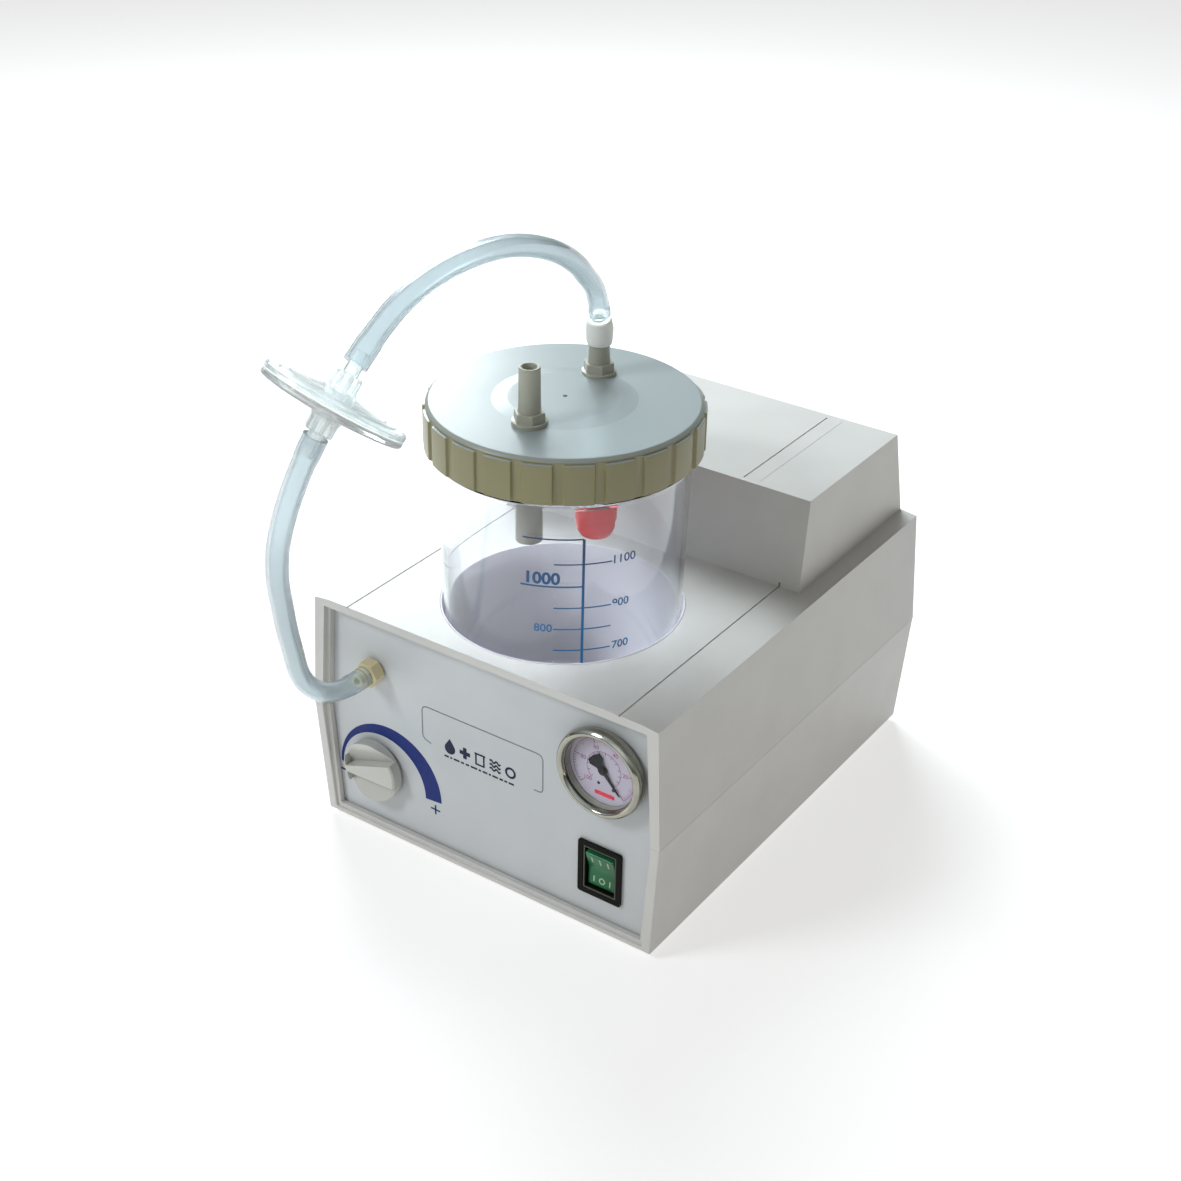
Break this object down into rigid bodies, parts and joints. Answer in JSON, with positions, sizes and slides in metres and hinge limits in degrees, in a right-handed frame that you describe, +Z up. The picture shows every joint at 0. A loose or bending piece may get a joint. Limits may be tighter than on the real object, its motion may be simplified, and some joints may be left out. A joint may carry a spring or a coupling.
{
  "type": "portable suction pump",
  "caption": "Portable suction pump: two-part plastic housing with a round well holding a lidded clear jar, a hose with an in-line filter, gauge, regulator knob and rocker switch.",
  "frame": {"origin": "on the surface the feet stand on, under the middle of the outline of the housing with its panel nozzle", "axes": "+X to the right of a person facing the front panel, +Y from the front panel to the rear, +Z up"},
  "size_m": [0.201, 0.3586, 0.3295],
  "materials": {
    "housing": "satin moulded plastic, off-white",
    "panel": "satin light grey sheet",
    "ivory_plastic": "semi-gloss cream plastic",
    "clear_jar": "clear polycarbonate with a blue printed scale",
    "clear_hose": "clear soft PVC",
    "clear_filter": "clear moulded plastic",
    "membrane": "white filter membrane",
    "grey_plastic": "translucent grey plastic",
    "knob": "satin silver-cream plastic",
    "red_plastic": "glossy red plastic",
    "rubber": "matt black rubber",
    "silicone": "milky silicone rubber",
    "chrome": "polished chrome",
    "dial": "matt white printed dial",
    "gauge_glass": "clear window",
    "black_plastic": "satin black plastic",
    "green_rocker": "translucent green plastic",
    "brass": "machined brass",
    "steel": "zinc-plated and ground steel",
    "aluminium": "die-cast aluminium",
    "laminations": "dark lacquered steel laminations and windings"
  },
  "bodies": {
    "root": {"lower_shell": "housing", "upper_shell": "housing", "jar_well": "housing", "rear_panel": "housing", "front_panel": "panel", "inlet_nozzle": "ivory_plastic", "rubber_foot_1": "rubber", "rubber_foot_2": "rubber", "rubber_foot_3": "rubber", "rubber_foot_4": "rubber", "vibration_mount_1": "rubber", "vibration_mount_2": "rubber", "vibration_mount_3": "rubber", "vibration_mount_4": "rubber", "pump_suction_tube": "silicone", "nozzle_tube": "silicone", "gauge_bezel": "chrome", "gauge_dial": "dial", "gauge_lens": "gauge_glass", "gauge_case": "black_plastic", "switch_frame": "black_plastic", "power_inlet": "black_plastic", "exhaust_silencer": "black_plastic", "gauge_stem": "brass", "regulator_body": "brass", "pump_plate": "steel", "motor_bearing_1": "steel", "motor_bearing_2": "steel", "motor_bracket_1": "aluminium", "motor_bracket_2": "aluminium", "cylinder": "aluminium", "crankcase": "aluminium", "cylinder_head": "aluminium", "motor_stator": "laminations"},
    "lid": {"jar_lid": "ivory_plastic", "lid_gasket": "silicone", "patient_port": "ivory_plastic", "dip_tube": "grey_plastic", "vacuum_port": "ivory_plastic", "float_stem": "grey_plastic", "hose_cuff": "ivory_plastic", "hose_lower": "clear_hose", "hose_upper": "clear_hose", "filter_upper": "clear_filter", "filter_lower": "clear_filter", "filter_membrane": "membrane"},
    "jar": {"jar": "clear_jar"},
    "float": {"float_cup": "red_plastic", "float_seal": "rubber"},
    "needle": {"gauge_needle": "black_plastic"},
    "knob": {"regulator_knob": "knob", "regulator_spindle": "brass"},
    "rocker_button": {"rocker": "green_rocker"},
    "fuse_tray": {"fuse_drawer": "black_plastic"},
    "rotor_assembly": {"rotor": "steel", "cooling_fan": "black_plastic", "crank": "steel", "crank_bearing": "steel"},
    "piston": {"piston_rod": "aluminium", "piston_seal": "rubber"}
  },
  "joints": [
    {"name": "jar_lift", "type": "slide", "parent": "root", "child": "lid", "axis": [0, 0, 1], "range_m": [0, 0.085]},
    {"name": "jar_twist", "type": "hinge", "parent": "lid", "child": "jar", "pos_m": [0, -0.0525, 0.13], "axis": [0, 0, -1], "range_deg": [0, 270]},
    {"name": "float_rise", "type": "slide", "parent": "lid", "child": "float", "axis": [0, 0, 1], "range_m": [0, 0.0115]},
    {"name": "needle_turn", "type": "hinge", "parent": "root", "child": "needle", "pos_m": [0.0668, -0.1131, 0.0926], "axis": [0, -1, 0], "range_deg": [0, 270], "stiffness_Nm_per_rad": 0.0005},
    {"name": "knob_turn", "type": "hinge", "parent": "root", "child": "knob", "pos_m": [-0.0667, -0.1131, 0.0378], "axis": [0, 1, 0], "range_deg": [0, 220]},
    {"name": "rocker_press", "type": "hinge", "parent": "root", "child": "rocker_button", "pos_m": [0.0655, -0.1059, 0.034], "axis": [-1, 0, 0], "range_deg": [0, 16]},
    {"name": "fuse_drawer_slide", "type": "slide", "parent": "root", "child": "fuse_tray", "axis": [0, 1, 0], "range_m": [0, 0.018]},
    {"name": "motor_spin", "type": "hinge", "parent": "root", "child": "rotor_assembly", "pos_m": [0, 0.0571, 0.05], "axis": [1, 0, 0], "continuous": true},
    {"name": "piston_stroke", "type": "slide", "parent": "root", "child": "piston", "axis": [0, 0, 1], "range_m": [-0.006, 0]}
  ]
}
